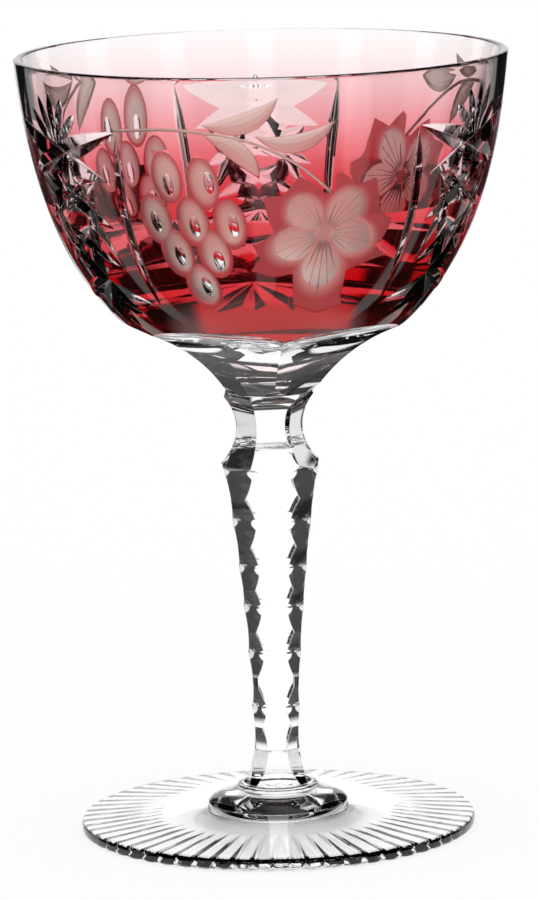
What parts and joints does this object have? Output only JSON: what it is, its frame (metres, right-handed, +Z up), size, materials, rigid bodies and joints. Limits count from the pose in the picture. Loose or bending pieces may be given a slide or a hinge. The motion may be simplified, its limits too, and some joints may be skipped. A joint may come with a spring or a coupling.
{
  "type": "sherbet glass",
  "caption": "Stemmed cut-crystal sherbet glass: wide ruby-cased bowl with star and vine cuts, faceted stem, bead and fluted round foot.",
  "frame": {"origin": "centre of the foot's underside, on the surface that the glass stands on", "axes": "+Z up the axis of the glass, -Y towards the grapes and vine leaf of the front motif, +X to their right"},
  "size_m": [0.0936, 0.094, 0.15],
  "materials": {
    "clear_crystal": "polished clear lead crystal, cut facets",
    "ruby_glass": "polished ruby casing, matt in the engraved vine and grapes"
  },
  "bodies": {
    "root": {"foot": "clear_crystal", "bead": "clear_crystal", "stem": "clear_crystal", "crystal_bowl": "clear_crystal", "ruby_casing": "ruby_glass", "ruby_tile_left_1": "ruby_glass", "ruby_tile_left_2": "ruby_glass", "ruby_tile_right_1": "ruby_glass", "ruby_tile_right_2": "ruby_glass", "ruby_tile_back_1": "ruby_glass", "ruby_tile_back_2": "ruby_glass"}
  },
  "joints": []
}
